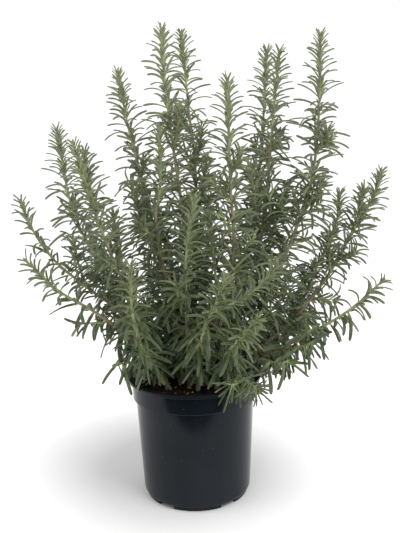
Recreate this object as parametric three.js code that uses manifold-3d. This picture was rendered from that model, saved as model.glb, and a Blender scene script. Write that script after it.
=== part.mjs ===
// Potted rosemary: a plastic nursery pot filled with potting mix, and the leafy stems that stand in it.
// Millimetres, +X right, +Y away from the front, +Z up. The origin is the centre of the pot's base.

import * as THREE from 'three';
import { mergeVertices } from 'three/addons/utils/BufferGeometryUtils.js';
import Module from 'manifold-3d';

const wasm = await Module();
wasm.setup();

// ---------------------------------------------------------------- driving dimensions

const GAP = 0.3;                    // clearance between pieces that touch
const ROUND_STEPS = 32;             // facets round the pot and the mix

const POT = {
  height: 136,
  wall: 1.8,
  floorTop: 5,                      // upper side of the floor
  innerEdge: 1.2,                   // chamfer between floor and wall, inside
  padRadius: 16,                    // flat round pad in the middle of the base
  grooveHeight: 3,                  // the base is raised this much between pad and foot ring
  grooveSlope: 2,                   // the sides of that groove lean this much
  footInner: 51.5,
  footOuter: 58,
  footHeight: 4.2,
  bodyBottomRadius: 61,
  bodyBottom: 8,                    // height where the rounded bottom edge ends
  bodyTopRadius: 66.6,
  bodyTop: 112.2,                   // height of the ledge that the collar stands out on
  collarRadius: 70,
  collarBottom: 113,
  collarDraft: 0.5,                 // the collar is this much wider below the lip
  lipRadius: 75,
  lipThickness: 3.6,
  lipBevel: 0.7,
};

// Drainage notches through the foot ring, and a hole in the base inside each notch. One notch is at the
// back, so that a foot faces the front.
const DRAIN = {
  count: 5,
  notchWidth: 19,
  notchHeight: 3.6,
  holeRadius: 4.5,
  holeSides: 6,
  holeCircle: 38,                   // distance of the holes from the middle
  overrun: 2,                       // a cut runs this far past what it cuts
};

const MIX = {
  edgeBelowLip: 11,                 // the mix meets the wall this far below the lip
  crown: 2.5,                       // its middle is this much higher than its edge
  lump: 1.3,                        // height of the soft lumps
  lumpSpan: 9,                      // a third of a lump's width
  rings: [0.86, 0.62, 0.34],        // rings of corners on its upper side, as shares of its radius
  holeDepth: 36,                    // the stems reach this deep
};

const STEM = {
  sides: 4,
  baseRadius: 2.3,
  tipRadius: 1,
  facet: 31,                        // length of one straight facet
  foot: 7,                          // the curve starts this far below the pot's rim
  straight: 6,                      // and goes straight up for this far
};

// Branches and side shoots leave their stem sideways and then turn up. The bend is a share of the
// way to the tip: sideways, and upward.
const OFFSHOOT = { sides: 3, branchRadius: 1.6, shootRadius: 1.3, bendOut: 0.7, bendUp: 0.35 };

const SHOOT = {
  spacing: 84,
  spacingSpread: [0.8, 1.25],       // single gaps, as shares of that
  firstBelowTip: 105,
  firstSpread: [1, 1.2],            // and shares of that distance
  turnSpread: 0.5,                  // radians, end to end, by which the golden angle varies
  lowest: 165,                      // none leaves the stem below this height
  minLength: 20,
  maxLength: 34,
  out: 0.62,                        // share of its length that it stands out from the stem
  along: 0.78,                      // share of its length that it runs along the stem
};

const NEEDLE = {
  length: 30,                       // full-grown, well below the tip
  tipLength: 11,                    // youngest, at the very tip
  lengthSpread: [0.86, 1.08],       // single needles, as shares of the length for their age
  width: 2.8,
  thickness: 1.5,
  slender: 0.72,                    // the shortest needles have this share of the width
  growth: 30,                       // distance below the tip at which a needle is full-grown
  widest: 0.45,                     // where along its length a needle is widest, and bends
  rootSunk: 0.5,                    // its root lies this far past the stem's middle line
  rise: [22, 58],                   // degrees off the stem at the root: youngest, full-grown
  riseSpread: 14,                   // and how far single needles differ
  bend: [6, 48],                    // degrees that it bends down along its length
  bendSpread: 16,
  sag: [0, 0.35],                   // and how much it gives way to its own weight
  firstBelowTip: 1.5,
  pairSpacing: 33,                  // along a stem, between pairs of full-grown needles
  tipSpacing: 0.35,                 // share of that at the very tip
  turnSpread: [0.6, 0.4],           // radians, end to end, by which the first and later turns vary
  lowest: 141,                      // a stem is bare below this height
};

// On branches and side shoots needles are shorter and closer together.
const BRANCH_NEEDLES = { length: 0.85, spacing: 0.8 };
const SHOOT_NEEDLES = { length: 0.7, spacing: 0.8 };

// Tried in this order for a needle that would cross another piece: shares of its length, and turns
// aside in radians.
const TRIES = { lengths: [1, 0.7], turns: [0, 0.35, -0.35, 0.7, -0.7] };

// Clear distances: from a shoot or a needle's middle line to the middle line of a neighbour.
const CLEAR = { shoot: 7, strand: 4.4, ownNeedle: 3, otherNeedle: 3.4, pot: 2.5, potWall: 5 };

const SEED = 20;

// Each stem: where it leaves the mix (x, y), points along it up to its tip, and the tips of its larger
// side branches with the height at which each leaves the stem. Front is -Y.
const STEMS = {
  stem_tall_left: {
    root: [-9, 4],
    path: [[-5, -6, 264], [-9, -12, 333], [-16, -18, 396], [-22, -20, 464], [-23, -18, 505]],
    branches: [{ from: 385, tip: [-7, -32, 424] }],
  },
  stem_tall_back_left: {
    root: [-4, 30],
    path: [[6, 44, 247], [7, 60, 369], [2, 66, 426], [-5, 68, 518]],
    branches: [{ from: 369, tip: [15, 48, 404] }, { from: 311, tip: [20, 34, 376] }],
  },
  stem_left: {
    root: [-24, 14],
    path: [[-23, 8, 208], [-37, 12, 283], [-51, 20, 348], [-66, 28, 414], [-75, 30, 470]],
    branches: [{ from: 280, tip: [-59, -20, 349] }],
  },
  stem_left_inner: {
    root: [-16, -10],
    path: [[-24, -18, 224], [-35, -30, 313], [-29, -34, 350], [-28, -34, 405]],
    branches: [],
  },
  stem_far_left: {
    root: [-36, 28],
    path: [[-76, 42, 214], [-122, 54, 281], [-140, 58, 327], [-151, 58, 412]],
    branches: [],
  },
  stem_front_left: {
    root: [-32, -8],
    path: [[-50, -30, 201], [-77, -50, 270], [-93, -62, 324], [-109, -70, 390]],
    branches: [{ from: 318, tip: [-103, -48, 384] }, { from: 240, tip: [-78, -40, 321] }],
  },
  stem_middle: {
    root: [14, -6],
    path: [[32, -24, 207], [45, -38, 280], [43, -40, 344], [42, -40, 400], [42, -38, 451]],
    branches: [{ from: 207, tip: [21, -46, 318] }, { from: 362, tip: [53, -46, 382] }],
  },
  stem_tall_back_right: {
    root: [16, 36],
    path: [[54, 58, 207], [76, 76, 307], [88, 86, 396], [95, 90, 499]],
    branches: [],
  },
  stem_right_inner: {
    root: [27, 13],
    path: [[53, 14, 201], [80, 22, 287], [87, 26, 338], [95, 32, 415], [103, 34, 489]],
    branches: [{ from: 290, tip: [66, -8, 366] }, { from: 290, tip: [112, 40, 342] }],
  },
  stem_tall_right: {
    root: [38, -3],
    path: [[77, -4, 207], [107, -4, 277], [131, 0, 342], [140, 4, 400], [143, 6, 500]],
    branches: [{ from: 323, tip: [141, -20, 348] }, { from: 378, tip: [148, -6, 402] }],
  },
  stem_far_right: {
    root: [46, 14],
    path: [[112, 20, 187], [159, 26, 244], [184, 30, 288], [208, 34, 325], [218, 36, 355]],
    branches: [{ from: 289, tip: [192, 10, 337] }, { from: 244, tip: [152, 2, 290] }],
  },
  stem_right_back: {
    root: [34, 27],
    path: [[99, 50, 170], [132, 60, 204], [153, 66, 249], [174, 70, 293], [179, 70, 331]],
    branches: [],
  },
  stem_low_right: {
    root: [50, 1],
    path: [[107, -12, 171], [154, -32, 203], [175, -42, 222], [197, -50, 246]],
    branches: [{ from: 150, tip: [100, -48, 163] }, { from: 165, tip: [127, -45, 183] }],
  },
  stem_low_left: {
    root: [-46, 15],
    path: [[-72, 12, 196], [-115, 6, 235], [-151, 0, 270], [-172, -4, 306], [-181, -4, 333]],
    branches: [{ from: 235, tip: [-134, 22, 293] }],
  },
  stem_low_front_left: {
    root: [-46, -1],
    path: [[-67, -16, 181], [-103, -30, 216], [-138, -40, 242], [-169, -44, 275]],
    branches: [{ from: 156, tip: [-80, -48, 165] }],
  },
  stem_short_left: {
    root: [-30, -26],
    path: [[-48, -46, 169], [-59, -66, 211], [-59, -76, 273]],
    branches: [],
  },
  stem_short_front: {
    root: [4, -34],
    path: [[9, -66, 193], [20, -86, 226], [34, -98, 261]],
    branches: [{ from: 226, tip: [85, -80, 269] }],
  },
  stem_short_right: {
    root: [24, -28],
    path: [[34, -62, 176], [48, -80, 198], [64, -96, 221]],
    branches: [],
  },
  stem_over_rim: {
    root: [44, -22],
    path: [[48, -46, 150], [52, -68, 151], [62, -98, 151]],
    branches: [{ from: 149, tip: [38, -92, 152] }],
  },
  stem_front: {
    root: [-6, -18],
    path: [[-6, -38, 218], [-4, -58, 279], [6, -64, 335]],
    branches: [],
  },
  stem_back_left: {
    root: [-20, 44],
    path: [[-40, 84, 230], [-56, 108, 300], [-60, 118, 350]],
    branches: [],
  },
  stem_back: {
    root: [8, 50],
    path: [[14, 98, 220], [22, 126, 280], [24, 136, 325]],
    branches: [],
  },
  stem_back_right: {
    root: [30, 47],
    path: [[70, 96, 210], [100, 118, 270], [112, 124, 315]],
    branches: [],
  },
  stem_low_back_left: {
    root: [-38, 42],
    path: [[-84, 84, 190], [-112, 102, 234], [-124, 106, 280]],
    branches: [],
  },
  stem_low_back_right: {
    root: [44, 38],
    path: [[96, 88, 172], [136, 112, 202], [158, 120, 240]],
    branches: [],
  },
  stem_low_back: {
    root: [-8, 56],
    path: [[-22, 112, 178], [-30, 148, 208], [-32, 160, 246]],
    branches: [],
  },
};

// ---------------------------------------------------------------- small helpers

const UP = new THREE.Vector3(0, 0, 1);
const RIGHT = new THREE.Vector3(1, 0, 0);
const vec = (p) => new THREE.Vector3(...p);
const smooth = (t) => THREE.MathUtils.smoothstep(t, 0, 1);
const lerp = THREE.MathUtils.lerp;

// Small seeded generator, so that every build gives the same plant.
function randomStream(seed) {
  let state = seed >>> 0;
  return () => {
    state = (state + 0x6d2b79f5) >>> 0;
    let t = Math.imul(state ^ (state >>> 15), state | 1);
    t ^= t + Math.imul(t ^ (t >>> 7), t | 61);
    return ((t ^ (t >>> 14)) >>> 0) / 4294967296;
  };
}

// A closed solid for joining and cutting. Corners at one place become one corner.
function toSolid(geometry) {
  const bare = geometry.clone();
  bare.deleteAttribute('normal');
  bare.deleteAttribute('uv');
  const merged = mergeVertices(bare, 1e-4);
  const corners = merged.index.array;
  const kept = [];
  for (let i = 0; i < corners.length; i += 3) {
    const [a, b, c] = [corners[i], corners[i + 1], corners[i + 2]];
    if (a !== b && b !== c && c !== a) kept.push(a, b, c);
  }
  const vertProperties = new Float32Array(merged.attributes.position.array);
  return new wasm.Manifold(new wasm.Mesh({ numProp: 3, vertProperties, triVerts: new Uint32Array(kept) }));
}

function toGeometry(solid) {
  const mesh = solid.getMesh();
  const geometry = new THREE.BufferGeometry();
  geometry.setAttribute('position', new THREE.BufferAttribute(new Float32Array(mesh.vertProperties), 3));
  geometry.setIndex(new THREE.BufferAttribute(new Uint32Array(mesh.triVerts), 1));
  geometry.computeVertexNormals();
  return geometry;
}

function makePart(name, solid, material) {
  const mesh = new THREE.Mesh(toGeometry(solid), material);
  mesh.name = name;
  return mesh;
}

// A round solid from its profile, a row of [radius, height].
function lathe(profile) {
  const points = profile.map(([r, z]) => new THREE.Vector2(r, z));
  return new THREE.LatheGeometry(points, ROUND_STEPS).rotateX(Math.PI / 2);
}

// A closed solid through a row of rings that all have the same number of points. A ring of one point
// closes that end to a tip.
function skin(rings) {
  const sides = Math.max(...rings.map((ring) => ring.length));
  const points = rings.flat();
  const starts = rings.map((_, i) => rings.slice(0, i).reduce((sum, ring) => sum + ring.length, 0));
  const at = (i, j) => starts[i] + (rings[i].length === 1 ? 0 : j % sides);
  const faces = [];
  for (let i = 0; i + 1 < rings.length; i += 1) {
    for (let j = 0; j < sides; j += 1) {
      if (rings[i].length > 1) faces.push(at(i, j), at(i, j + 1), at(i + 1, j));
      if (rings[i + 1].length > 1) faces.push(at(i, j + 1), at(i + 1, j + 1), at(i + 1, j));
    }
  }
  const last = rings.length - 1;
  for (let j = 1; j + 1 < sides; j += 1) {
    if (rings[0].length > 1) faces.push(at(0, 0), at(0, j + 1), at(0, j));
    if (rings[last].length > 1) faces.push(at(last, 0), at(last, j), at(last, j + 1));
  }
  const geometry = new THREE.BufferGeometry().setFromPoints(points);
  geometry.setIndex(faces);
  return toSolid(geometry);
}

// Two directions square to a tangent: the first leans to +X, so neighbouring rings never twist.
function squareTo(tangent) {
  const first = RIGHT.clone().addScaledVector(tangent, -RIGHT.dot(tangent)).normalize();
  return [first, tangent.clone().cross(first)];
}

// The direction square to a tangent that is turned round it by an angle.
function outward(tangent, angle) {
  const [first, second] = squareTo(tangent);
  return first.multiplyScalar(Math.cos(angle)).addScaledVector(second, Math.sin(angle));
}

function ringAt(centre, tangent, radius, sides) {
  return Array.from({ length: sides }, (_, j) => {
    const angle = (2 * Math.PI * j) / sides;
    return centre.clone().addScaledVector(outward(tangent, angle), radius);
  });
}

// ---------------------------------------------------------------- pot and potting mix

function makePot() {
  const { wall, lipBevel } = POT;
  const lipBottom = POT.height - POT.lipThickness;
  const collarTopRadius = POT.collarRadius + POT.collarDraft;
  const bottomEdge = [0, 0.25, 0.5].map((turn) => [
    lerp(POT.footOuter, POT.bodyBottomRadius, Math.sin(turn * Math.PI)),
    lerp(POT.bodyBottom, POT.footHeight, Math.cos(turn * Math.PI)),
  ]);
  const outside = [
    [0, 0],
    [POT.padRadius, 0],
    [POT.padRadius + POT.grooveSlope, POT.grooveHeight],
    [POT.footInner - POT.grooveSlope, POT.grooveHeight],
    [POT.footInner, 0],
    [POT.footOuter, 0],
    ...bottomEdge,
    [POT.bodyTopRadius, POT.bodyTop],
    [POT.collarRadius, POT.collarBottom],
    [collarTopRadius, lipBottom],
    [POT.lipRadius - lipBevel, lipBottom],
    [POT.lipRadius, lipBottom + lipBevel],
    [POT.lipRadius, POT.height - lipBevel],
    [POT.lipRadius - lipBevel, POT.height],
  ];
  const inside = [
    [collarTopRadius - wall, POT.height],
    [POT.collarRadius - wall, POT.collarBottom + wall],
    [POT.bodyTopRadius - wall, POT.bodyTop + wall],
    [POT.bodyBottomRadius - wall, POT.bodyBottom],
    [POT.bodyBottomRadius - wall - POT.innerEdge, POT.floorTop],
    [0, POT.floorTop],
  ];
  return toSolid(lathe([...outside, ...inside])).subtract(wasm.Manifold.union(drainCuts()));
}

function drainCuts() {
  const { count, notchWidth, notchHeight, holeRadius, holeSides, holeCircle, overrun } = DRAIN;
  const notchLength = POT.bodyBottomRadius - POT.footInner + 2 * overrun;
  const notchAt = (POT.bodyBottomRadius + POT.footInner) / 2;
  const holeLength = 2 * (POT.floorTop + overrun);
  const cuts = [];
  for (let i = 0; i < count; i += 1) {
    const angle = Math.PI / 2 + (2 * Math.PI * i) / count;
    const notch = new THREE.BoxGeometry(notchLength, notchWidth, 2 * notchHeight);
    notch.translate(notchAt, 0, 0).rotateZ(angle);
    const hole = new THREE.CylinderGeometry(holeRadius, holeRadius, holeLength, holeSides);
    hole.rotateX(Math.PI / 2).translate(holeCircle, 0, 0).rotateZ(angle);
    cuts.push(toSolid(notch), toSolid(hole));
  }
  return cuts;
}

// Height of the mix at a place: a low crown with soft lumps.
function mixHeight(x, y) {
  const share = Math.hypot(x, y) / POT.collarRadius;
  const lumps = MIX.lump * Math.sin(x / MIX.lumpSpan) * Math.cos(y / MIX.lumpSpan);
  return POT.height - MIX.edgeBelowLip + (MIX.crown + lumps) * (1 - share * share);
}

function makeMix(stems) {
  const inset = POT.wall + 1.2 * GAP;   // keeps the clearance square to the leaning wall and ledge as well
  const edgeTop = POT.height - MIX.edgeBelowLip;
  const rise = (edgeTop - POT.collarBottom) / (POT.height - POT.collarBottom);
  const edgeRadius = POT.collarRadius + POT.collarDraft * rise - inset;
  const fill = lathe([
    [0, POT.floorTop + GAP],
    [POT.bodyBottomRadius - POT.innerEdge - inset, POT.floorTop + GAP],
    [POT.bodyBottomRadius - inset, POT.bodyBottom],
    [POT.bodyTopRadius - inset, POT.bodyTop + inset],
    [POT.collarRadius - inset, POT.collarBottom + inset],
    [edgeRadius, edgeTop],
    ...MIX.rings.map((share) => [share * edgeRadius, edgeTop]),
    [0, edgeTop],
  ]);
  const corners = fill.attributes.position;
  for (let i = 0; i < corners.count; i += 1) {
    const [x, y, z] = [corners.getX(i), corners.getY(i), corners.getZ(i)];
    const onTop = z > edgeTop - GAP && Math.hypot(x, y) < edgeRadius - GAP;
    if (onTop) corners.setZ(i, mixHeight(x, y));
  }
  const holes = stems.map(({ root }) => {
    const bottom = ringAt(vec([...root, edgeTop - MIX.holeDepth]), UP, holeRadius(), STEM.sides);
    const top = ringAt(vec([...root, POT.height]), UP, holeRadius(), STEM.sides);
    return skin([bottom, top]);
  });
  return toSolid(fill).subtract(wasm.Manifold.union(holes));
}

// The hole has the stem's own section, moved out by the clearance on every side.
function holeRadius() {
  return STEM.baseRadius + GAP / Math.cos(Math.PI / STEM.sides);
}

// ---------------------------------------------------------------- strands: stems, branches, side shoots

// A strand is a row of straight facets along a curve, with a radius at both ends.
function makeStrand(curve, baseRadius, tipRadius) {
  const length = curve.getLength();
  const facets = Math.max(2, Math.round(length / STEM.facet));
  return { length, facets, baseRadius, tipRadius, knots: curve.getSpacedPoints(facets) };
}

// The place and direction on a strand at a share of its length, from 0 at its foot to 1 at its tip.
function onStrand({ facets, knots }, share) {
  const i = Math.min(facets - 1, Math.floor(share * facets));
  const place = knots[i].clone().lerp(knots[i + 1], share * facets - i);
  return { place, tangent: knots[i + 1].clone().sub(knots[i]).normalize() };
}

// The direction at a knot is midway between those of the facets that meet there.
function knotTangent({ facets, knots }, i) {
  const before = knots[Math.max(0, i - 1)];
  const after = knots[Math.min(facets, i + 1)];
  return after.clone().sub(before).normalize();
}

function stemStrand({ root, path }) {
  const [x, y] = root;
  const foot = POT.height - STEM.foot;
  const start = [vec([x, y, foot]), vec([x, y, foot + STEM.straight])];
  const curve = new THREE.CatmullRomCurve3([...start, ...path.map(vec)]);
  return makeStrand(curve, STEM.baseRadius, STEM.tipRadius);
}

function offshoot(from, tip, radius) {
  const { bendOut, bendUp } = OFFSHOOT;
  const [x, y] = [lerp(from.x, tip.x, bendOut), lerp(from.y, tip.y, bendOut)];
  const bend = new THREE.Vector3(x, y, lerp(from.z, tip.z, bendUp));
  return makeStrand(new THREE.QuadraticBezierCurve3(from, bend, tip), radius, radius / 2);
}

function shareAtHeight(strand, height) {
  let share = 0;
  while (share < 1 && onStrand(strand, share).place.z < height) share += 0.005;
  return Math.min(share, 1);
}

// Smallest distance from a point to a row of points joined by straight lines.
function distanceTo(point, row) {
  const line = new THREE.Line3();
  const nearest = new THREE.Vector3();
  let least = Infinity;
  for (let i = 0; i + 1 < row.length; i += 1) {
    line.set(row[i], row[i + 1]).closestPointToPoint(point, true, nearest);
    least = Math.min(least, nearest.distanceTo(point));
  }
  return least;
}

// Short side shoots, spaced along a strand and turned round it by the golden angle. One that would
// come too close to another stem is left out.
function sideShoots(strand, others, random) {
  const goldenAngle = Math.PI * (3 - Math.sqrt(5));
  const shoots = [];
  let angle = 2 * Math.PI * random();
  let below = SHOOT.firstBelowTip * lerp(...SHOOT.firstSpread, random());
  while (below < strand.length) {
    const { place: from, tangent } = onStrand(strand, 1 - below / strand.length);
    if (from.z < SHOOT.lowest) break;
    const length = lerp(SHOOT.minLength, SHOOT.maxLength, random());
    const tip = from.clone()
      .addScaledVector(outward(tangent, angle), SHOOT.out * length)
      .addScaledVector(tangent, SHOOT.along * length);
    const shoot = offshoot(from, tip, OFFSHOOT.shootRadius);
    const farHalf = [0.4, 0.6, 0.8, 1].map((share) => onStrand(shoot, share).place);
    const isNear = ({ knots }) => farHalf.some((point) => distanceTo(point, knots) < CLEAR.shoot);
    if (!others.some(isNear)) shoots.push(shoot);
    angle += goldenAngle + SHOOT.turnSpread * (random() - 0.5);
    below += SHOOT.spacing * lerp(...SHOOT.spacingSpread, random());
  }
  return shoots;
}

// The stem stands straight in its hole in the mix and tapers along its curve.
function stemSolid(strand) {
  const foot = strand.knots[0].clone();
  foot.z = POT.height - MIX.edgeBelowLip - MIX.holeDepth + GAP;
  const rings = [ringAt(foot, UP, strand.baseRadius, STEM.sides)];
  strand.knots.forEach((knot, i) => {
    const radius = lerp(strand.baseRadius, strand.tipRadius, i / strand.facets);
    rings.push(ringAt(knot, i === 0 ? UP : knotTangent(strand, i), radius, STEM.sides));
  });
  return skin(rings);
}

// Branches and side shoots are pointed at both ends, with the root inside the stem.
function offshootSolid(strand) {
  const rings = strand.knots.map((knot, i) => {
    const radius = lerp(strand.baseRadius, strand.tipRadius, i / strand.facets);
    const isEnd = i === 0 || i === strand.facets;
    return isEnd ? [knot] : ringAt(knot, knotTangent(strand, i), radius, OFFSHOOT.sides);
  });
  return skin(rings);
}

// ---------------------------------------------------------------- needles

// A needle's middle line is an arch: it starts out at `rise` from the strand's direction, bends
// away from it to `fall`, and sags a little.
function needleArch(from, tangent, angle, size) {
  const out = outward(tangent, angle);
  const towards = (lean) => tangent.clone()
    .multiplyScalar(Math.cos(lean))
    .addScaledVector(out, Math.sin(lean));
  const start = towards(size.rise);
  const end = towards(size.fall).addScaledVector(UP, -size.sag).normalize();
  const along = (share) => from.clone()
    .addScaledVector(start, size.length * (share - share * share / 2))
    .addScaledVector(end, size.length * share * share / 2);
  return { along, start, across: out.clone().cross(tangent) };
}

// Needles grow longer, spread wider and sag more with their distance below the tip.
function needleSize(belowTip, fullLength, random) {
  const age = smooth(belowTip / NEEDLE.growth);
  const radians = THREE.MathUtils.degToRad;
  const rise = radians(lerp(...NEEDLE.rise, age) + NEEDLE.riseSpread * (random() - 0.5));
  return {
    length: lerp(NEEDLE.tipLength, fullLength, age) * lerp(...NEEDLE.lengthSpread, random()),
    rise,
    fall: rise + radians(lerp(...NEEDLE.bend, age) + NEEDLE.bendSpread * random()),
    sag: lerp(...NEEDLE.sag, age),
  };
}

// Three-sided, flat above and keeled below, and pointed at the root and at the tip.
function needleSolid(arch, size) {
  const root = arch.along(0).addScaledVector(arch.start, -NEEDLE.rootSunk);
  const middle = arch.along(NEEDLE.widest);
  const over = arch.across.clone().cross(middle.clone().sub(root).normalize());
  const scale = lerp(NEEDLE.slender, 1, Math.min(1, size.length / NEEDLE.length));
  const half = arch.across.clone().multiplyScalar(scale * NEEDLE.width / 2);
  const top = middle.clone().addScaledVector(over, scale * NEEDLE.thickness / 3);
  const keel = middle.clone().addScaledVector(over, -scale * NEEDLE.thickness * 2 / 3);
  return skin([[root], [top.clone().add(half), keel, top.clone().sub(half)], [arch.along(1)]]);
}

// Clear of the pot's wall and lip, and of the mix.
function clearOfPot(point) {
  const radius = Math.hypot(point.x, point.y);
  const nearWall = radius > POT.bodyTopRadius - CLEAR.potWall && radius < POT.lipRadius + CLEAR.pot;
  if (nearWall) return point.z > POT.height + CLEAR.pot;
  return radius > POT.lipRadius || point.z > mixHeight(point.x, point.y) + CLEAR.pot;
}

// The middle lines of all needles placed so far, with the name of the stem that each belongs to.
const placed = [];

function isFree(name, points, strandsOfOthers) {
  const reach = 1.2 * NEEDLE.length;
  return points.every((point) => {
    if (!clearOfPot(point)) return false;
    if (strandsOfOthers.some(({ knots }) => distanceTo(point, knots) < CLEAR.strand)) return false;
    return placed.every((needle) => {
      if (needle.points[1].distanceTo(point) > reach) return true;
      const least = needle.name === name ? CLEAR.ownNeedle : CLEAR.otherNeedle;
      return distanceTo(point, needle.points) > least;
    });
  });
}

// A needle that would cross another piece is turned aside, then shortened, and at last left out.
function growNeedle(name, from, tangent, angle, size, strandsOfOthers) {
  for (const share of TRIES.lengths) {
    const sized = { ...size, length: size.length * share };
    for (const turn of TRIES.turns) {
      const arch = needleArch(from, tangent, angle + turn, sized);
      const points = [0.2, 0.4, 0.6, 0.8, 1].map(arch.along);
      if (isFree(name, points, strandsOfOthers)) {
        placed.push({ name, points });
        return [needleSolid(arch, sized)];
      }
    }
  }
  return [];
}

// Opposite pairs along a strand, each turned a quarter round from the last and closer together at
// the tip. The second pair stands sideways, so that the leafy tips are as wide as they really are.
function growNeedles(name, strand, share, strandsOfOthers, random) {
  const needles = [];
  const [firstSpread, turnSpread] = NEEDLE.turnSpread;
  let angle = Math.PI / 2 + firstSpread * (random() - 0.5);
  let below = NEEDLE.firstBelowTip;
  while (below < strand.length - STEM.baseRadius) {
    const { place, tangent } = onStrand(strand, 1 - below / strand.length);
    if (place.z < NEEDLE.lowest) break;
    for (const side of [0, Math.PI]) {
      const size = needleSize(below, share.length * NEEDLE.length, random);
      needles.push(...growNeedle(name, place, tangent, angle + side, size, strandsOfOthers));
    }
    angle += Math.PI / 2 + turnSpread * (random() - 0.5);
    const crowding = lerp(NEEDLE.tipSpacing, 1, smooth(below / NEEDLE.growth));
    below += crowding * share.spacing * NEEDLE.pairSpacing;
  }
  return needles;
}

// ---------------------------------------------------------------- assembly

const plastic = new THREE.MeshStandardMaterial({ color: 0x1b1e22, roughness: 0.25, metalness: 0 });
const mixMaterial = new THREE.MeshStandardMaterial({ color: 0x1d1712, roughness: 0.95, metalness: 0 });
const leafMaterial = new THREE.MeshStandardMaterial({ color: 0x5d7150, roughness: 0.6, metalness: 0 });

function layOutStems() {
  const random = randomStream(SEED);
  const stems = Object.entries(STEMS).map(([name, row]) => {
    const stem = stemStrand(row);
    const branches = row.branches.map(({ from, tip }) => {
      const start = onStrand(stem, shareAtHeight(stem, from)).place;
      return offshoot(start, vec(tip), OFFSHOOT.branchRadius);
    });
    return { name, root: row.root, stem, branches, shoots: [] };
  });
  for (const plant of stems) {
    for (const strand of [plant.stem, ...plant.branches]) {
      const own = plant.branches.filter((branch) => branch !== strand);
      plant.shoots.push(...sideShoots(strand, [...strandsBeside(plant, stems), ...own], random));
    }
  }
  return stems;
}

// All strands of the other stems.
function strandsBeside(plant, stems) {
  const others = stems.filter((other) => other !== plant);
  return others.flatMap((other) => [other.stem, ...other.branches, ...other.shoots]);
}

function makeStem(plant, stems, random) {
  const others = strandsBeside(plant, stems);
  const needlesOn = (strand, share) => growNeedles(plant.name, strand, share, others, random);
  return wasm.Manifold.union([
    stemSolid(plant.stem),
    ...plant.branches.map(offshootSolid),
    ...plant.shoots.map(offshootSolid),
    ...plant.branches.flatMap((strand) => needlesOn(strand, BRANCH_NEEDLES)),
    ...plant.shoots.flatMap((strand) => needlesOn(strand, SHOOT_NEEDLES)),
    ...needlesOn(plant.stem, { length: 1, spacing: 1 }),
  ]);
}

const stems = layOutStems();
const rosemary = new THREE.Group();
rosemary.add(makePart('pot', makePot(), plastic));
rosemary.add(makePart('soil', makeMix(stems), mixMaterial));
stems.forEach((plant, i) => {
  const solid = makeStem(plant, stems, randomStream(SEED + 1 + i));
  rosemary.add(makePart(plant.name, solid, leafMaterial.clone()));
});

export default rosemary;
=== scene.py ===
"""Looks for the potted rosemary: a glossy nursery pot, potting mix and leafy stems with all their needles.

Sizes are in millimetres, as in the part's source, and meshes are written in metres. +X is right, +Y is
away from the front and +Z is up. The origin is the centre of the pot's base.
"""

import itertools
import math
from types import SimpleNamespace as Sizes

import bpy
import numpy as np
from mathutils import Matrix, Vector, noise


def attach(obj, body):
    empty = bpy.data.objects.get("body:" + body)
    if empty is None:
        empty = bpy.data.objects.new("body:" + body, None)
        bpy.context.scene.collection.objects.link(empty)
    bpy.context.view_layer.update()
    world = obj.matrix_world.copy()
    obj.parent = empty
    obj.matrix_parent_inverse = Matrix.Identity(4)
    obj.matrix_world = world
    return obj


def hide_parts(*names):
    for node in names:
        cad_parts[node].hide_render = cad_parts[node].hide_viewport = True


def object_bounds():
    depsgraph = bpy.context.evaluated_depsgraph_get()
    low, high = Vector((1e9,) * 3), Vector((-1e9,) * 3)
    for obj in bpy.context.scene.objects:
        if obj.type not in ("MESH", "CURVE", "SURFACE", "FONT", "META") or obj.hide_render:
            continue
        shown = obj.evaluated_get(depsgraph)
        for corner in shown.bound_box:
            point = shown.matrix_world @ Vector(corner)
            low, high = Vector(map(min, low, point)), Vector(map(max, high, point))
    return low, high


MM = 0.001
SEED = 20

# -------- sizes shared with the part's source

POT = Sizes(
    height=136, wall=1.8, floor_top=5, inner_edge=1.2, pad_radius=16, groove_height=3, groove_slope=2,
    foot_inner=51.5, foot_outer=58, foot_height=4.2, body_bottom_radius=61, body_bottom=8,
    body_top_radius=66.6, body_top=112.2, collar_radius=70, collar_bottom=113, collar_draft=0.5,
    lip_radius=75, lip_thickness=3.6,
)
DRAIN = Sizes(count=5, notch_width=19, notch_height=3.6, hole_radius=4.5, hole_circle=38, overrun=2)
MIX = Sizes(edge_below_lip=11, crown=2.5, lump=1.3, lump_span=9)
STEM = Sizes(base_radius=2.3, tip_radius=1.0, facet=31, foot=7, straight=6, hole_depth=36)
OFFSHOOT = Sizes(branch_radius=1.6, shoot_radius=1.3, bend_out=0.7, bend_up=0.35)
SHOOT = Sizes(
    spacing=84, spacing_spread=(0.8, 1.25), first_below_tip=105, first_spread=(1, 1.2), turn_spread=0.5,
    lowest=165, min_length=20, max_length=34, out=0.62, along=0.78, clear=7,
)
GAP = 0.3
GOLDEN = math.pi * (3 - math.sqrt(5))     # turn from one side shoot to the next

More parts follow.
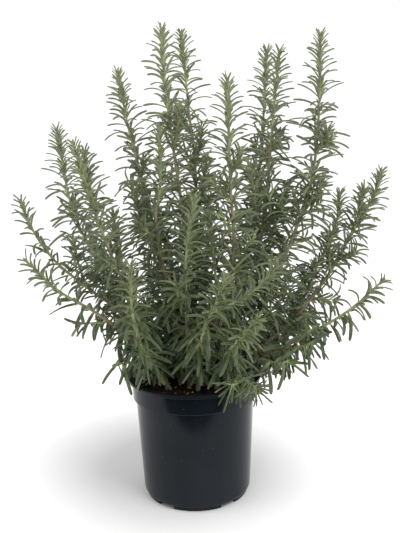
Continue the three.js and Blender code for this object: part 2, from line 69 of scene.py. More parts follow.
# Each stem: where it leaves the mix, points along it up to its tip, and then its larger side branches, as
# (height at which it leaves the stem, tip).
STEMS = {
    "stem_tall_left": (
        (-9, 4), [(-5, -6, 264), (-9, -12, 333), (-16, -18, 396), (-22, -20, 464), (-23, -18, 505)],
        (385, (-7, -32, 424))),
    "stem_tall_back_left": ((-4, 30), [(6, 44, 247), (7, 60, 369), (2, 66, 426), (-5, 68, 518)],
        (369, (15, 48, 404)), (311, (20, 34, 376))),
    "stem_left": ((-24, 14), [(-23, 8, 208), (-37, 12, 283), (-51, 20, 348), (-66, 28, 414), (-75, 30, 470)],
        (280, (-59, -20, 349))),
    "stem_left_inner": ((-16, -10), [(-24, -18, 224), (-35, -30, 313), (-29, -34, 350), (-28, -34, 405)]),
    "stem_far_left": ((-36, 28), [(-76, 42, 214), (-122, 54, 281), (-140, 58, 327), (-151, 58, 412)]),
    "stem_front_left": ((-32, -8), [(-50, -30, 201), (-77, -50, 270), (-93, -62, 324), (-109, -70, 390)],
        (318, (-103, -48, 384)), (240, (-78, -40, 321))),
    "stem_middle": (
        (14, -6), [(32, -24, 207), (45, -38, 280), (43, -40, 344), (42, -40, 400), (42, -38, 451)],
        (207, (21, -46, 318)), (362, (53, -46, 382))),
    "stem_tall_back_right": ((16, 36), [(54, 58, 207), (76, 76, 307), (88, 86, 396), (95, 90, 499)]),
    "stem_right_inner": (
        (27, 13), [(53, 14, 201), (80, 22, 287), (87, 26, 338), (95, 32, 415), (103, 34, 489)],
        (290, (66, -8, 366)), (290, (112, 40, 342))),
    "stem_tall_right": (
        (38, -3), [(77, -4, 207), (107, -4, 277), (131, 0, 342), (140, 4, 400), (143, 6, 500)],
        (323, (141, -20, 348)), (378, (148, -6, 402))),
    "stem_far_right": (
        (46, 14), [(112, 20, 187), (159, 26, 244), (184, 30, 288), (208, 34, 325), (218, 36, 355)],
        (289, (192, 10, 337)), (244, (152, 2, 290))),
    "stem_right_back": (
        (34, 27), [(99, 50, 170), (132, 60, 204), (153, 66, 249), (174, 70, 293), (179, 70, 331)]),
    "stem_low_right": ((50, 1), [(107, -12, 171), (154, -32, 203), (175, -42, 222), (197, -50, 246)],
        (150, (100, -48, 163)), (165, (127, -45, 183))),
    "stem_low_left": (
        (-46, 15), [(-72, 12, 196), (-115, 6, 235), (-151, 0, 270), (-172, -4, 306), (-181, -4, 333)],
        (235, (-134, 22, 293))),
    "stem_low_front_left": (
        (-46, -1), [(-67, -16, 181), (-103, -30, 216), (-138, -40, 242), (-169, -44, 275)],
        (156, (-80, -48, 165))),
    "stem_short_left": ((-30, -26), [(-48, -46, 169), (-59, -66, 211), (-59, -76, 273)]),
    "stem_short_front": ((4, -34), [(9, -66, 193), (20, -86, 226), (34, -98, 261)], (226, (85, -80, 269))),
    "stem_short_right": ((24, -28), [(34, -62, 176), (48, -80, 198), (64, -96, 221)]),
    "stem_over_rim": ((44, -22), [(48, -46, 150), (52, -68, 151), (62, -98, 151)], (149, (38, -92, 152))),
    "stem_front": ((-6, -18), [(-6, -38, 218), (-4, -58, 279), (6, -64, 335)]),
    "stem_back_left": ((-20, 44), [(-40, 84, 230), (-56, 108, 300), (-60, 118, 350)]),
    "stem_back": ((8, 50), [(14, 98, 220), (22, 126, 280), (24, 136, 325)]),
    "stem_back_right": ((30, 47), [(70, 96, 210), (100, 118, 270), (112, 124, 315)]),
    "stem_low_back_left": ((-38, 42), [(-84, 84, 190), (-112, 102, 234), (-124, 106, 280)]),
    "stem_low_back_right": ((44, 38), [(96, 88, 172), (136, 112, 202), (158, 120, 240)]),
    "stem_low_back": ((-8, 56), [(-22, 112, 178), (-30, 148, 208), (-32, 160, 246)]),
}

# -------- sizes of the foliage

# Full-grown leaves. Their thickness is a share of the width, up to a width of "thickest". Twist and roll are
# spreads in radians, and bow is a sideways spread as a share of the length. The root is sunk into its stem.
LEAF = Sizes(
    length=33.0, longest=40.0, thickness=0.62, thickest=2.6, twist=1.5, roll=2.6, bow=0.32, sunk=0.9,
    first_below_tip=1.0, lowest=146, lowest_spread=12,
)
# Along a leaf, before its tip: how far, and shares of its width and thickness there. It is narrow at the root
# and blunt at the end.
RINGS = np.array([
    (0, 0.42, 0.55), (0.1, 0.68, 0.75), (0.24, 1, 1), (0.42, 1, 1), (0.6, 1, 1), (0.78, 1, 1),
    (0.91, 0.866, 0.8995), (0.975, 0.606, 0.7045),
])
# Around a leaf: shares of half its width and of its thickness, and how far it shows the pale underside. It
# has rolled margins, a groove along the upper side and a rib below.
SECTION = [(-1, -0.3, 0.45), (-0.58, 0.42, 0), (0, 0.24, 0), (0.58, 0.42, 0), (1, -0.3, 0.45), (0, -0.42, 1)]
SHORTER = (1, 0.85, 0.7, 0.5)       # shares of its length, tried until a leaf has room
TESTED = np.array([0.25, 0.5, 0.75, 1.0])[:, None]      # where along a leaf its room is tested
# How far leaves stay off the pot: inwards of the collar, outwards of the lip, above it and above the mix.
# Close beside the lip none hangs lower than "hang" below it.
CLEAR = Sizes(collar=4, lip=1.5, over_lip=1.2, over_mix=9, beside=3, hang=30)
# How leaves change down a stem: each row holds values at these distances below its tip.
BELOW_TIP = (0, 13, 27, 60, 100, 160)
BY_AGE = {
    "length": (0.34, 0.48, 0.66, 0.94, 1.1, 1.12),  # share of full length
    "width": (1.6, 2.0, 2.4, 2.8, 2.9, 3.0),
    "rise": (16, 22, 30, 46, 58, 64),               # degrees off the stem at the root
    "bend": (24, 40, 50, 48, 38, 30),               # degrees that it bends down along its length
    "sag": (0.0, 0.0, 0.03, 0.1, 0.18, 0.22),
    "internode": (1.6, 2.0, 2.6, 4.2, 6.9, 8.8),
    "inner": (0.4, 0.5, 0.7, 0.45, 0.05, 0.0),      # short upright leaves beside each leaf
    "tuft": (0.0, 0.0, 0.05, 0.25, 0.5, 0.85),
}
DRIFT = 0.22        # radians that each pair turns on beyond a quarter turn
# Low on the plant the old leaves hang: below this height, over this span, with these pulls at root and tip.
DROOP = Sizes(below=270, span=110, root=1.3, tip=1.8, longer=0.12, wider=0.3)
# How leaves differ among themselves. Spreads of length, rise, bend and turn are smaller near a tip and whole
# further down. Rise and bend are in degrees, turns in radians, the others are shares.
VARY = Sizes(
    near_tip=0.35, whole_at=90, shorter=0.3, longer=1.12, width=(0.85, 1.15), rise=32, bend=40,
    bent_share=0.04, bent=60, turn=0.6, pair_turn=0.4, pull=(0.15, 1.15), sag=(0.4, 1.6),
    fresh=(0.7, 1), internode=(0.8, 1.2),
)
FRESH = Sizes(to=4, over=75)        # pale young leaves: how far below a tip, and over what length they fade
TIP_REACH = 70      # how far down the leaves of a tip differ in width
# Inner leaves against the one that they stand beside.
INNER = Sizes(turn=1.2, length=(0.35, 0.6), width=0.85, rise=0.5, bend=0.4)
# Tufts: pairs of leaves on a short axis, fewer and smaller on a small one.
TUFT = Sizes(
    pairs=1.2, count=(0.5, 1.3), foot=1.5, step=2.6, lean=(28, 52), aside=0.5, length=27.0, small=0.5,
    spread=(0.6, 1.2), upper=0.7, upper_at=3, width=2.4, rise=(20, 50), bend=(5, 50), hang=(0.3, 0.6),
    sag=0.15, fresh=0.45,
)
# Finer side shoots: where they start below a tip, how close they stand, how long, thick and slanted they are.
TWIG = Sizes(
    start=70, start_spread=(0.9, 1.3), spacing=38, spread=(0.7, 1.3), closer=0.5, closer_from=100,
    closer_over=80, lowest=150, length=(6, 36), longer_over=90, share=(0.35, 1), lean=(32, 62),
    turn=0.8, thinner=0.8, inside=6, above_root=4,
)
# How stems differ: spacing of the leaf pairs and of the twigs, share of tufts, added age, how loosely leaves
# vary, their length and width, the share of that width that those at a tip have, share of inner leaves, how
# much leaves hang and how pale the young ones are.
HABIT = {"older": 0.0} | dict.fromkeys(
    ("pairs", "twigs", "tufts", "loose", "long", "wide", "tip", "inner", "hang", "fresh"), 1.0)
THIN = dict(pairs=1.4, twigs=1.2, tufts=0.8, older=8.0, loose=2.0, wide=1.5, tip=0.7, inner=0.4, fresh=0.5)
HABITS = {
    "stem_over_rim": dict(
        pairs=0.6, twigs=0.0, tufts=0.5, older=38.0, long=0.78, wide=0.62, hang=0.55, fresh=0.3),
    "stem_low_left": THIN, "stem_low_front_left": THIN, "stem_low_right": THIN,
}
# Leaves on offshoots against those on their stem: share of full length, added age, more age low in the shade,
# and shares of the pale young leaves, of the tufts and of the inner leaves.
ON_BRANCH = dict(full=0.95, older=8, shaded=52, fresh=0.5, tufts=1, inner=1)
ON_SHOOT = dict(full=0.92, older=25, shaded=0, fresh=0.3, tufts=0, inner=0.4)
ON_TWIG = dict(full=0.95, older=60, shaded=0, fresh=0.2, tufts=0, inner=0.3)
SHADE = Sizes(below=210, over=60)
# Stems and offshoots: spacing of their rings and number of sides, how they swell where leaves stand, where
# below a tip green bark turns to wood, and the stem's foot in its hole.
BARK = Sizes(
    stem=(2.4, 8), offshoot=(2.0, 6), fewest_rings=6, swell=0.07, swell_span=2.6, green=25,
    wood_over=130, foot_rings=6, foot_gap=4, end=0.5,
)
LINE_STEPS = 60
SHARP = {"pot": 32, "soil": 40, "foliage": 70}      # degrees past which an edge isn't shaded smooth

UP = np.array([0.0, 0.0, 1.0])
RIGHT = np.array([1.0, 0.0, 0.0])


# -------- small helpers

def random_stream(seed):
    """The part source's generator, so that side shoots come out in the same places."""
    state, mask = seed, 0xFFFFFFFF

    def draw():
        nonlocal state
        state = (state + 0x6D2B79F5) & mask
        t = (state ^ (state >> 15)) * (state | 1) & mask
        t ^= (t + (t ^ (t >> 7)) * (t | 61)) & mask
        return (t ^ (t >> 14)) / (mask + 1)

    return draw


def lerp(a, b, t):
    return a + (b - a) * t


def smooth(t):
    t = min(1.0, max(0.0, t))
    return t * t * (3 - 2 * t)


def unit(v):
    return v / np.linalg.norm(v, axis=-1, keepdims=True)


def outward(tangent, angle):
    """Square to the tangent, and turned about it by the angle from the right."""
    first = unit(RIGHT - tangent * tangent[0])
    return first * math.cos(angle) + np.cross(tangent, first) * math.sin(angle)


# -------- strands: stems, branches, side shoots

def catmull_rom(points, steps):
    """Centripetal Catmull-Rom curve through the points."""
    p = np.array(points, float)
    p = np.vstack([2 * p[0] - p[1], p, 2 * p[-1] - p[-2]])
    t = np.linspace(0, 1, steps, endpoint=False)[:, None]
    out = []
    for a, b, c, d in zip(p, p[1:], p[2:], p[3:]):
        da, db, dc = (max(math.dist(u, v) ** 0.5, 1e-4) for u, v in ((a, b), (b, c), (c, d)))
        m = ((b - a) / da - (c - a) / (da + db) + (c - b) / db) * db
        n = ((c - b) / db - (d - b) / (db + dc) + (d - c) / dc) * db
        out.append(b + m * t + (3 * (c - b) - 2 * m - n) * t ** 2 + (2 * (b - c) + m + n) * t ** 3)
    return np.vstack([*out, p[-2]])


class Strand:
    """A stem, branch or side shoot: a smooth line, and the straight facets that the solid has."""

    def __init__(self, line, base_radius, tip_radius):
        steps = np.linalg.norm(np.diff(line, axis=0), axis=1)
        self.line = line
        self.far = np.concatenate([[0], np.cumsum(steps)])
        self.length = self.far[-1]
        self.base_radius = base_radius
        self.tip_radius = tip_radius
        self.facets = max(2, round(self.length / STEM.facet))
        self.knots = self.points(np.linspace(0, self.length, self.facets + 1))

    def points(self, distance):
        return np.stack([np.interp(distance, self.far, self.line[:, k]) for k in range(3)], -1)

    def at(self, distance):
        """Place and direction on the smooth line."""
        step = 1.5
        low, high = max(0, distance - step), min(self.length, distance + step)
        return self.points(distance), unit(self.points(high) - self.points(low))

    def on_facet(self, share):
        i = min(self.facets - 1, int(share * self.facets))
        place = lerp(self.knots[i], self.knots[i + 1], share * self.facets - i)
        return place, unit(self.knots[i + 1] - self.knots[i])

    def radius(self, distance):
        return lerp(self.base_radius, self.tip_radius, distance / self.length)


def stem_strand(root, path):
    x, y = root
    foot = POT.height - STEM.foot
    points = [(x, y, foot), (x, y, foot + STEM.straight), *path]
    return Strand(catmull_rom(points, LINE_STEPS), STEM.base_radius, STEM.tip_radius)


def offshoot(start, tip, radius):
    tip = np.array(tip, float)
    turn = lerp(start, tip, np.array([OFFSHOOT.bend_out, OFFSHOOT.bend_out, OFFSHOOT.bend_up]))
    t = np.linspace(0, 1, LINE_STEPS)[:, None]
    line = (1 - t) ** 2 * start + 2 * t * (1 - t) * turn + t ** 2 * tip
    return Strand(line, radius, radius / 2)


def at_height(strand, height):
    share, step = 0, 0.005
    while share < 1 and strand.on_facet(share)[0][2] < height:
        share += step
    return min(share, 1)


def distance_to(point, row):
    """Smallest distance from a point to a row of points joined by straight lines."""
    a, along = row[:-1], np.diff(row, axis=0)
    t = np.clip(((point - a) * along).sum(1) / (along ** 2).sum(1), 0, 1)
    return np.linalg.norm(a + along * t[:, None] - point, axis=1).min()


def side_shoots(strand, others, random):
    """The side shoots that the solid has: the same rule with the same draws."""
    shoots = []
    angle = 2 * math.pi * random()
    below = SHOOT.first_below_tip * lerp(*SHOOT.first_spread, random())
    while below < strand.length:
        share = 1 - below / strand.length
        start, tangent = strand.on_facet(share)
        if start[2] < SHOOT.lowest:
            break
        length = lerp(SHOOT.min_length, SHOOT.max_length, random())
        tip = start + outward(tangent, angle) * SHOOT.out * length + tangent * SHOOT.along * length
        solid = offshoot(start, tip, OFFSHOOT.shoot_radius)
        far_half = [solid.on_facet(s)[0] for s in (0.4, 0.6, 0.8, 1)]
        near = any(distance_to(p, other.knots) < SHOOT.clear for other in others for p in far_half)
        if not near:
            shoots.append(offshoot(strand.points(share * strand.length), tip, OFFSHOOT.shoot_radius))
        angle += GOLDEN + SHOOT.turn_spread * (random() - 0.5)
        below += SHOOT.spacing * lerp(*SHOOT.spacing_spread, random())
    return shoots


def lay_out():
    random = random_stream(SEED)
    plants = []
    for name, (root, path, *branches) in STEMS.items():
        stem = stem_strand(root, path)
        parts = [
            offshoot(stem.points(at_height(stem, height) * stem.length), tip, OFFSHOOT.branch_radius)
            for height, tip in branches
        ]
        plants.append({"name": name, "stem": stem, "branches": parts, "shoots": []})
    for plant in plants:
        for strand in (plant["stem"], *plant["branches"]):
            others = [b for b in plant["branches"] if b is not strand]
            for other in plants:
                if other is not plant:
                    others += [other["stem"], *other["branches"], *other["shoots"]]
            plant["shoots"] += side_shoots(strand, others, random)
    return plants


# -------- foliage

def mix_height(x, y):
    share = math.hypot(x, y) / POT.collar_radius
    lumps = MIX.lump * math.sin(x / MIX.lump_span) * math.cos(y / MIX.lump_span)
    return POT.height - MIX.edge_below_lip + (MIX.crown + lumps) * (1 - share * share)


def has_room(points, low, high):
    """Whether points stay inside a box, off the pot's wall and lip and above the mix."""
    radius, height = np.hypot(points[:, 0], points[:, 1]), points[:, 2]
    lip, top = POT.lip_radius, POT.height
    outer = lip + CLEAR.lip
    wall = (radius > POT.collar_radius - CLEAR.collar) & (radius < outer)
    beside = (radius >= outer) & (radius < lip + CLEAR.beside)
    hit = wall & (height < top + CLEAR.over_lip)
    hit |= (radius < lip) & (height < top - MIX.edge_below_lip + CLEAR.over_mix)
    hit |= beside & (height < top - CLEAR.hang)
    return not hit.any() and np.all(points > low) and np.all(points < high)


def leaf_line(start, length, first, last, bow, s):
    """Points at shares s of a leaf, which turns from its first to its last direction and bows sideways."""
    return start + length * (first * (s - s * s / 2) + last * s * s / 2 + bow * s * s)


class Foliage:
    """Collects the leaves of one stem and turns them into mesh arrays, all at once."""

    def __init__(self, random, low, high):
        self.random = random
        self.low, self.high = low, high
        self.rows = []

    def leaf(self, start, tangent, angle, length, width, rise, bend, sags, young):
        """Adds a leaf where it has room. Sags pull its first and last directions down.

        A leaf that is pulled down also turns over at the root.
        """
        random = self.random
        out = outward(tangent, angle)
        first = out * math.sin(rise) + tangent * math.cos(rise)
        last = out * math.sin(rise + bend) + tangent * math.cos(rise + bend)
        first = unit(first - UP * sags[0])
        last = unit(last - UP * sags[1])
        across = np.cross(out, tangent)
        side = LEAF.bow * (random() - 0.5)
        twist = LEAF.twist * (random() - 0.5)
        roll = LEAF.roll * (random() - 0.5) * min(1, sags[0])
        tint = random()
        for share in SHORTER:
            long = length * share
            line = leaf_line(start, long, first, last, across * side, TESTED)
            if has_room(line, self.low + width / 2, self.high - width / 2):
                numbers = (long, width, side, twist, young, tint, roll)
                self.rows.append((*start, *first, *last, *across, *numbers))
                return

    def arrays(self):
        """Corners and looks of all leaves, by leaf, ring and side, and their roots and tips."""
        r = np.array(self.rows)
        start, first, last, across = (r[:, None, i:i + 3] for i in (0, 3, 6, 9))
        length, width, side, twist, young, tint, roll = (r[:, i, None, None] for i in range(12, 19))
        s, wide_here, thick_here = (RINGS[None, :, i, None] for i in range(3))
        bow = across * side
        line = leaf_line(start, length, first, last, bow, s)
        along = unit(first * (1 - s) + last * s + 2 * bow * s)
        wide = unit(across - along * (across * along).sum(-1, keepdims=True))
        over = np.cross(wide, along)
        turn = roll + twist * s
        wide, over = wide * np.cos(turn) + over * np.sin(turn), over * np.cos(turn) - wide * np.sin(turn)
        half = width / 2 * wide_here
        thick = LEAF.thickness * np.minimum(width, LEAF.thickest) * thick_here
        corners = np.stack([line + wide * half * a + over * thick * b for a, b, _ in SECTION], 2)
        under = np.array([row[2] for row in SECTION])
        looks = np.stack([np.broadcast_to(v, corners.shape[:3]) for v in (young, under, tint, s)], -1)
        root = (start - first * LEAF.sunk)[:, 0]
        tip = leaf_line(start, length, first, last, bow, 1)[:, 0]
        return corners, looks, root, tip


def by_age(key, below):
    return float(np.interp(below, BELOW_TIP, BY_AGE[key]))


def grow(foliage, strand, full, habit):
    """Opposite pairs of leaves, each turned a quarter from the last, and tufts in their axils.

    A slow side shoot has leaves as if they stood further below the tip by the length "older".
    """
    random = foliage.random
    angle = 2 * math.pi * random()
    below = LEAF.first_below_tip
    while below < strand.length - strand.base_radius:
        place, tangent = strand.at(strand.length - below)
        if place[2] < LEAF.lowest - LEAF.lowest_spread * random():
            break
        droop = smooth((DROOP.below - place[2]) / DROOP.span) * habit["hang"]
        age = below + habit["older"]
        spread = lerp(VARY.near_tip, 1, smooth(age / VARY.whole_at)) * habit["loose"]
        for side in (0, math.pi):
            share = lerp(1 - VARY.shorter * spread, VARY.longer, random())
            length = full * by_age("length", age) * share
            length = min(LEAF.longest, length * (1 + DROOP.longer * droop) * habit["long"])
            wider = 1 + DROOP.wider * droop * min(1, length / LEAF.length)
            width = by_age("width", age) * lerp(*VARY.width, random()) * wider * habit["wide"]
            width *= lerp(habit["tip"], 1, smooth(below / TIP_REACH))
            rise = by_age("rise", age) + VARY.rise * spread * (random() - 0.5)
            bend = by_age("bend", age) + VARY.bend * spread * (random() - 0.5)
            if random() < VARY.bent_share:
                bend += VARY.bent
            pull = droop * lerp(*VARY.pull, random())
            sag = by_age("sag", age) * lerp(*VARY.sag, random())
            sags = (DROOP.root * pull, sag + DROOP.tip * pull)
            mature = smooth((below - FRESH.to) / FRESH.over)
            young = (1 - mature) * lerp(*VARY.fresh, random()) * habit["fresh"]
            turned = angle + side + VARY.turn * spread * (random() - 0.5)
            rise, bend = math.radians(rise), math.radians(bend)
            foliage.leaf(place, tangent, turned, length, width, rise, bend, sags, young)
            if random() < habit["inner"] * by_age("inner", age):
                turned += INNER.turn * (random() - 0.5)
                short = length * lerp(*INNER.length, random())
                foliage.leaf(
                    place, tangent, turned, short, INNER.width * width, INNER.rise * rise,
                    INNER.bend * bend, (0, 0), young)
            tuft(foliage, place, tangent, angle + side, habit["tufts"] * by_age("tuft", age), droop)
        angle += math.pi / 2 + DRIFT + VARY.pair_turn * spread * (random() - 0.5)
        below += by_age("internode", age) * habit["pairs"] * lerp(*VARY.internode, random())


def grow_on(foliage, strands, habit, change):
    """Leaves on branches, side shoots or twigs, which differ from those on their stem."""
    for strand in strands:
        shade = smooth((SHADE.below - strand.line[-1, 2]) / SHADE.over)
        own = {key: change[key] * habit[key] for key in ("fresh", "tufts", "inner")}
        own["older"] = habit["older"] + change["older"] + change["shaded"] * shade
        grow(foliage, strand, change["full"] * LEAF.length, habit | own)


def twigs(strand, random, low, high, spacing):
    """Finer side shoots between those of the solid."""
    found = []
    angle = 2 * math.pi * random()
    below = TWIG.start * lerp(*TWIG.start_spread, random())
    while spacing and below < strand.length - TWIG.above_root:
        start, tangent = strand.at(strand.length - below)
        if start[2] < TWIG.lowest:
            break
        age = smooth((below - TWIG.start) / TWIG.longer_over)
        length = lerp(*TWIG.length, age * lerp(*TWIG.share, random()))
        lean = math.radians(lerp(*TWIG.lean, random()))
        tip = start + length * (outward(tangent, angle) * math.sin(lean) + tangent * math.cos(lean))
        if has_room(tip[None], low + TWIG.inside, high - TWIG.inside):
            found.append(offshoot(start, tip, OFFSHOOT.shoot_radius * TWIG.thinner))
        angle += GOLDEN + TWIG.turn * (random() - 0.5)
        closer = lerp(1, TWIG.closer, smooth((below - TWIG.closer_from) / TWIG.closer_over))
        below += TWIG.spacing * closer * spacing * lerp(*TWIG.spread, random())
    return found


def tuft(foliage, place, tangent, angle, size, droop):
    """A very short shoot in a leaf's axil, with a few pairs of small rising leaves."""
    random = foliage.random
    lean = math.radians(lerp(*TUFT.lean, random()))
    out = outward(tangent, angle + TUFT.aside * (random() - 0.5))
    axis = unit(out * math.sin(lean) + tangent * math.cos(lean))
    turn = 2 * math.pi * random()
    pairs = round(TUFT.pairs * size * lerp(*TUFT.count, random()))
    full = TUFT.length * lerp(TUFT.small, 1, size)
    for i in range(pairs):
        at = place + axis * (TUFT.foot + TUFT.step * i * size)
        for side in (0, math.pi):
            length = full * lerp(*TUFT.spread, random()) * lerp(1, TUFT.upper, i / TUFT.upper_at)
            width = TUFT.width * lerp(*VARY.width, random())
            rise = math.radians(lerp(*TUFT.rise, random()))
            bend = math.radians(lerp(*TUFT.bend, random()))
            sags = (TUFT.hang[0] * droop, TUFT.sag * random() + TUFT.hang[1] * droop)
            foliage.leaf(at, axis, turn + side, length, width, rise, bend, sags, TUFT.fresh * random())
        turn += math.pi / 2


# -------- meshes

def new_mesh(name, corners, faces, material_of_face=None, looks=None, places=None):
    """A smooth mesh: corners in millimetres, faces as lists of corner numbers, places on the texture map."""
    mesh = bpy.data.meshes.new(name)
    mesh.from_pydata((np.asarray(corners) * MM).tolist(), [], faces, shade_flat=False)
    if material_of_face is not None:
        mesh.polygons.foreach_set("material_index", np.asarray(material_of_face, np.int32))
    if looks is not None:
        layer = mesh.attributes.new("look", "FLOAT_COLOR", "POINT")
        layer.data.foreach_set("color", np.asarray(looks, np.float32).ravel())
    if places is not None:
        layer = mesh.uv_layers.new(name="OFBake")
        layer.data.foreach_set("uv", np.asarray(places, np.float32).ravel())
    mesh.update()
    return mesh


def add_object(name, data):
    added = bpy.data.objects.new(name, data)
    bpy.context.scene.collection.objects.link(added)
    return added


def place_piece(name, mesh, materials, node, slot):
    piece = add_object(name, mesh)
    for material in materials:
        mesh.materials.append(material)
    mesh.set_sharp_from_angle(angle=math.radians(SHARP[slot]))
    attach(piece, "root")
    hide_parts(node)


class Joined:
    """Joins strands and leaves into one mesh, each with its own cell of the texture map."""

    def __init__(self, pieces):
        self.cells = math.ceil(math.sqrt(pieces))
        self.pieces = self.count = 0
        self.corners, self.faces, self.of_face, self.looks, self.places = [], [], [], [], []

    def add(self, corners, faces, looks, places, material):
        """places: the faces' corners on the unit square, which goes into the cell with a small margin."""
        row, column = divmod(self.pieces, self.cells)
        margin = 0.06
        self.places.append((np.array((column, row)) + margin + (1 - 2 * margin) * places) / self.cells)
        self.corners.append(corners)
        self.looks.append(looks)
        self.faces += [[self.count + j for j in face] for face in faces]
        self.of_face += [material] * len(faces)
        self.count += len(corners)
        self.pieces += 1

    def mesh(self, name):
        corners, looks, places = (np.vstack(v) for v in (self.corners, self.looks, self.places))
        return new_mesh(name, corners, self.faces, self.of_face, looks, places)


def closed_tube(stations, sides):
    """Faces of a tube with a corner at each end, numbered last, and their places on the unit square.

    The stations say how far along the square the rings lie.
    """
    faces, places = [], []
    for i, (low, high) in enumerate(zip(stations, stations[1:])):
        for j in range(sides):
            k = (j + 1) % sides
            faces.append([i * sides + j, i * sides + k, (i + 1) * sides + k, (i + 1) * sides + j])
            left, right = j / sides, (j + 1) / sides
            places += [(left, low), (right, low), (right, high), (left, high)]
    root = len(stations) * sides
    top = root - sides
    for j in range(sides):
        k = (j + 1) % sides
        left, middle, right = j / sides, (j + 0.5) / sides, (j + 1) / sides
        faces += [[k, j, root], [top + j, top + k, root + 1]]
        places += [(right, stations[0]), (left, stations[0]), (middle, 0)]
        places += [(left, stations[-1]), (right, stations[-1]), (middle, 1)]
    return faces, np.array(places)


def strand_tube(strand, is_stem):
    """Corners of a round strand, how young each is, its faces and their places on the unit square."""
    step, sides = BARK.stem if is_stem else BARK.offshoot
    distance = np.linspace(0, strand.length, max(BARK.fewest_rings, round(strand.length / step)))
    line = strand.points(distance)
    below = strand.length - distance
    radii = strand.radius(distance) * (1 + BARK.swell * np.sin(below / BARK.swell_span) ** 2)
    if is_stem:
        deep = POT.height - MIX.edge_below_lip - STEM.hole_depth + GAP
        heights = np.linspace(deep, line[0][2] - BARK.foot_gap, BARK.foot_rings)
        line = np.vstack([[[*line[0][:2], z] for z in heights], line])
        radii = np.concatenate([np.full(len(heights), strand.base_radius), radii])
        below = np.concatenate([np.full(len(heights), strand.length), below])
    tangents = unit(np.gradient(line, axis=0))
    angles = [2 * math.pi * j / sides for j in range(sides)]
    corners = [p + r * outward(t, angle) for p, t, r in zip(line, tangents, radii) for angle in angles]
    caps = [line[end] + tangents[end] * radii[end] * sign * BARK.end for end, sign in ((0, -1), (-1, 1))]
    young = 1 - np.clip((below - BARK.green) / BARK.wood_over, 0, 1)
    young = np.append(np.repeat(young, sides), young[[0, -1]])
    return np.vstack([corners, caps]), young, *closed_tube(np.linspace(0, 1, len(line)), sides)


def leafy_stem(plant, random, low, high, materials):
    stem, branches, shoots = plant["stem"], plant["branches"], plant["shoots"]
    foliage = Foliage(random, low, high)
    habit = HABIT | HABITS.get(plant["name"], {})
    grow_on(foliage, branches, habit, ON_BRANCH)
    grow_on(foliage, shoots, habit, ON_SHOOT)
    grow(foliage, stem, LEAF.length, habit)
    finer = []
    for strand in (stem, *branches):
        finer += twigs(strand, random, low, high, habit["twigs"])
    grow_on(foliage, finer, habit, ON_TWIG)

    strands = [stem, *branches, *shoots, *finer]
    leaves, leaf_looks, roots, tips = foliage.arrays()
    joined = Joined(len(strands) + len(leaves))
    for strand in strands:
        corners, young, faces, places = strand_tube(strand, strand is stem)
        looks = np.zeros((len(corners), 4))
        looks[:, 0] = young
        looks[:, 2] = random()
        joined.add(corners, faces, looks, places, 0)
    faces, places = closed_tube(RINGS[:, 0], len(SECTION))
    groove = 2
    for leaf, looks, root, tip in zip(leaves, leaf_looks, roots, tips):
        looks = np.vstack([looks.reshape(-1, 4), looks[0, groove], looks[-1, groove]])
        joined.add(np.vstack([leaf.reshape(-1, 3), root, tip]), faces, looks, places, 1)
    name = "leafy_" + plant["name"]
    place_piece(name, joined.mesh(name), materials, plant["name"], "foliage")


# -------- pot

# Easing of the pot's edges: steps (outwards, upwards) from each sharp corner of its profile.
EASED = {
    "foot_inner": ((0, 0.25), (0.4, 0)),
    "foot_outer": ((-0.4, 0), (0, 0.4)),
    "body_top": ((0, -0.3), (0.3, 0.05)),
    "collar_bottom": ((-0.6, 0), (-0.15, 0.2), (0, 0.6)),
    "lip_bottom": ((-0.05, -0.9), (0.5, -0.1), (1.2, 0)),
}
ROUNDED = Sizes(lip=1.1, inner_lip=0.6)        # radii


def arc(centre, radius, start, end, steps):
    """Points on an arc, from one angle to another in degrees."""
    angles = np.radians(np.linspace(start, end, steps))
    return [(centre[0] + radius * math.cos(a), centre[1] + radius * math.sin(a)) for a in angles]


def straight(start, end, margin):
    """A straight stretch with a point near each end, so that its smooth shading stays flat in between."""
    share = margin / math.dist(start, end)
    at = [tuple(lerp(a, b, t) for a, b in zip(start, end)) for t in (share, 1 - share)]
    return [start, *at, end]


def eased(name, radius, height):
    return [(radius + a, height + b) for a, b in EASED[name]]


def inner_wall(wall, floor):
    """Profile of the pot's inside from its floor up, this far in from the outside."""
    return [
        (0, floor), (POT.body_bottom_radius - wall - POT.inner_edge, floor),
        (POT.body_bottom_radius - wall, POT.body_bottom), (POT.body_top_radius - wall, POT.body_top + wall),
        (POT.collar_radius - wall, POT.collar_bottom + wall),
    ]


def pot_profile():
    wall, height = POT.wall, POT.height
    lip_bottom = height - POT.lip_thickness
    top = POT.collar_radius + POT.collar_draft
    lip, inner_lip = ROUNDED.lip, ROUNDED.inner_lip
    angles = np.linspace(0, math.pi / 2, 9)
    bottom_edge = [
        (lerp(POT.foot_outer, POT.body_bottom_radius, math.sin(a)),
         lerp(POT.body_bottom, POT.foot_height, math.cos(a)))
        for a in angles
    ]
    body_top = eased("body_top", POT.body_top_radius, POT.body_top)
    ledge = eased("collar_bottom", POT.collar_radius, POT.collar_bottom)
    neck = eased("lip_bottom", top, lip_bottom)
    outside = [
        (0, 0), (POT.pad_radius, 0), (POT.pad_radius + POT.groove_slope, POT.groove_height),
        (POT.foot_inner - POT.groove_slope, POT.groove_height),
        *eased("foot_inner", POT.foot_inner, 0), *eased("foot_outer", POT.foot_outer, 0),
        *bottom_edge[:-1], *straight(bottom_edge[-1], body_top[0], margin=1.5), *body_top[1:],
        *ledge[:-1], *straight(ledge[-1], neck[0], margin=1.0), *neck[1:],
        *arc((POT.lip_radius - lip, lip_bottom + lip), lip, -90, 0, steps=6),
        *arc((POT.lip_radius - lip, height - lip), lip, 0, 90, steps=6),
    ]
    inside = [
        *arc((top - wall + inner_lip, height - inner_lip), inner_lip, 90, 180, steps=4),
        *reversed(inner_wall(wall, POT.floor_top)),
    ]
    return outside + inside


